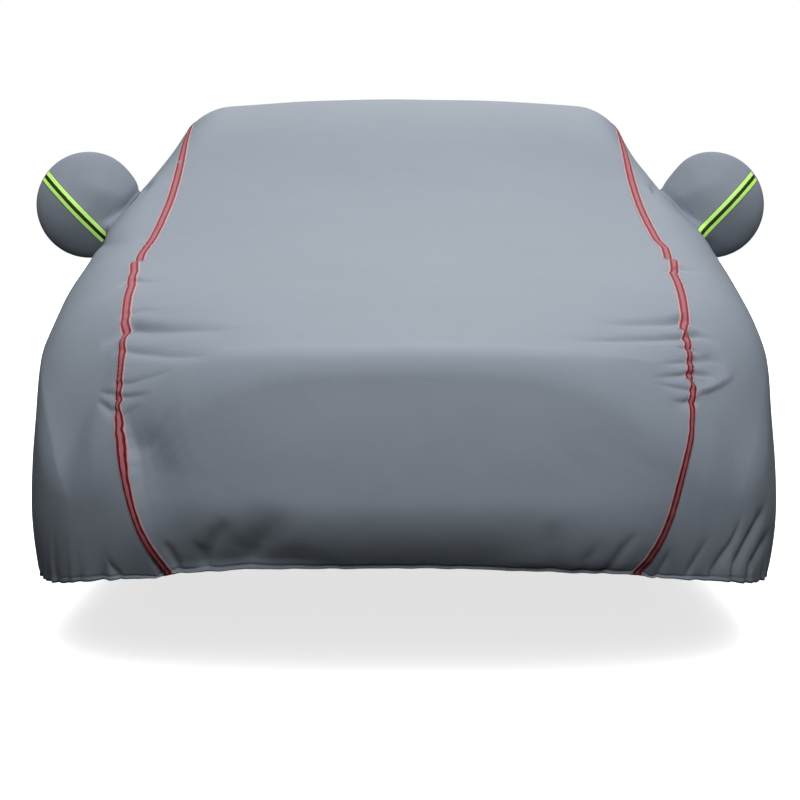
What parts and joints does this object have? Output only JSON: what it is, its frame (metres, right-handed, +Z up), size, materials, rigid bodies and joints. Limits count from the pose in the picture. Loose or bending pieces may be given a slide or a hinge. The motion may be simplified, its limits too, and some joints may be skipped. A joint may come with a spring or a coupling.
{
  "type": "fitted car cover",
  "caption": "Fitted cloth cover that hangs over a whole car, with taped side seams and mirror pockets.",
  "frame": {"origin": "underside of the roof cloth, on the middle line, at half the length", "axes": "+Y towards the rear of the car, +Z up, +X to the right of a viewer who faces the front"},
  "size_m": [2.079, 4.7497, 1.2592],
  "materials": {
    "cover_cloth": "coated polyester weave, smooth, blue grey, satin",
    "seam_tape": "woven binding tape, red, with two rows of dark red stitching",
    "reflective_strip": "sewn reflective webbing, yellow green with a dark olive middle"
  },
  "bodies": {
    "root": {"centre_panel": "cover_cloth", "side_panel_left": "cover_cloth", "side_panel_right": "cover_cloth", "mirror_pocket_front_left": "cover_cloth", "mirror_pocket_back_left": "cover_cloth", "mirror_pocket_front_right": "cover_cloth", "mirror_pocket_back_right": "cover_cloth", "seam_tape_left": "seam_tape", "seam_tape_right": "seam_tape", "reflective_strip_left": "reflective_strip", "reflective_strip_right": "reflective_strip"}
  },
  "joints": []
}
